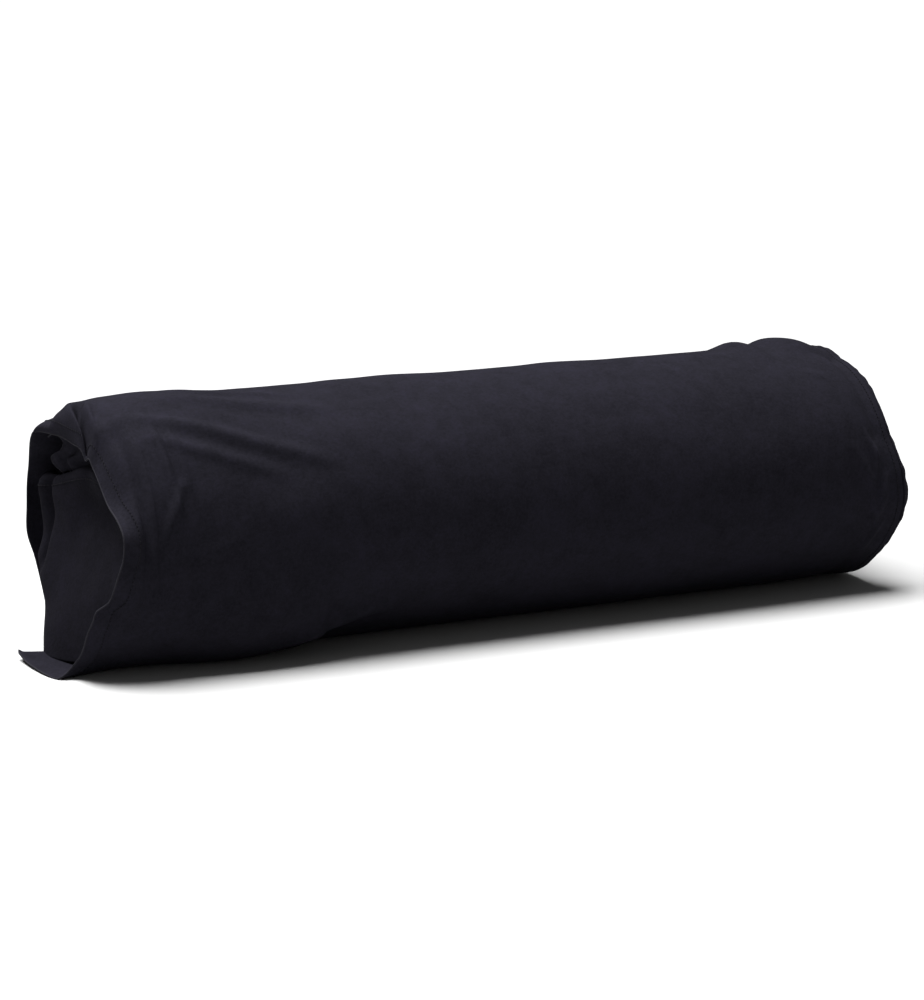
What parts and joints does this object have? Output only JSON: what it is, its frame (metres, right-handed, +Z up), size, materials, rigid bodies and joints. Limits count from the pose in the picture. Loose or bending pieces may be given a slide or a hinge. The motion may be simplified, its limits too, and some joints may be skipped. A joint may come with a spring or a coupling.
{
  "type": "bolster pillow",
  "caption": "Full round massage bolster: a foam log in a zipped vinyl casing, inside a loose slip-over cloth cover with an open mouth and a tuck flap.",
  "frame": {"origin": "centre of the resting face, halfway between the tip of the mouth's bottom lip and the closed end, on the surface that the bolster lies on", "axes": "+X along the bolster, from the cover's open mouth to its closed end; +Z up; +Y to the left, looking from the mouth to the closed end"},
  "size_m": [0.748, 0.2068, 0.2037],
  "materials": {
    "cover_cloth": "matt brushed near-black cloth",
    "cover_thread": "matt polyester thread",
    "foam": "open-cell upholstery foam",
    "wadding": "loose white polyester wadding",
    "casing_vinyl": "grained upholstery vinyl",
    "casing_thread": "bonded nylon thread",
    "zip_tape": "woven polyester tape",
    "zip_coil": "polyester coil",
    "zip_metal": "satin black enamel on zinc"
  },
  "bodies": {
    "cover": {"cover_sleeve": "cover_cloth", "cover_end_panel": "cover_cloth", "cover_tuck_flap": "cover_cloth", "mouth_hem_stitching": "cover_thread", "end_seam_stitching": "cover_thread", "side_seam_stitching": "cover_thread", "flap_hem_stitching": "cover_thread"},
    "bolster": {"foam_core": "foam", "wadding_wrap": "wadding", "casing_wrap": "casing_vinyl", "casing_end_left": "casing_vinyl", "casing_end_right": "casing_vinyl", "casing_seam_stitching_left": "casing_thread", "casing_seam_stitching_right": "casing_thread", "casing_long_stitching": "casing_thread", "zip_tape_inner": "zip_tape", "zip_tape_outer": "zip_tape", "zip_coil_inner": "zip_coil", "zip_coil_outer": "zip_coil", "zip_bottom_stop": "zip_metal", "zip_top_stop_inner": "zip_metal", "zip_top_stop_outer": "zip_metal", "zip_stitching_inner": "casing_thread", "zip_stitching_outer": "casing_thread"},
    "zip_slider": {"zip_slider": "zip_metal"},
    "zip_pull": {"zip_pull": "zip_metal"}
  },
  "joints": [
    {"name": "bolster_slide", "type": "slide", "parent": "cover", "child": "bolster", "axis": [-1, 0, 0], "range_m": [0, 0.735], "deforming": ["cover_tuck_flap", "flap_hem_stitching"]},
    {"name": "zip_slide", "type": "hinge", "parent": "bolster", "child": "zip_slider", "pos_m": [-0.307, 0, 0.1003], "axis": [-1, 0, 0], "range_deg": [0, 206.5]},
    {"name": "pull_swing", "type": "hinge", "parent": "zip_slider", "child": "zip_pull", "pos_m": [-0.311, -0.084, 0.1003], "axis": [0, 1, 0], "range_deg": [0, 180]}
  ]
}
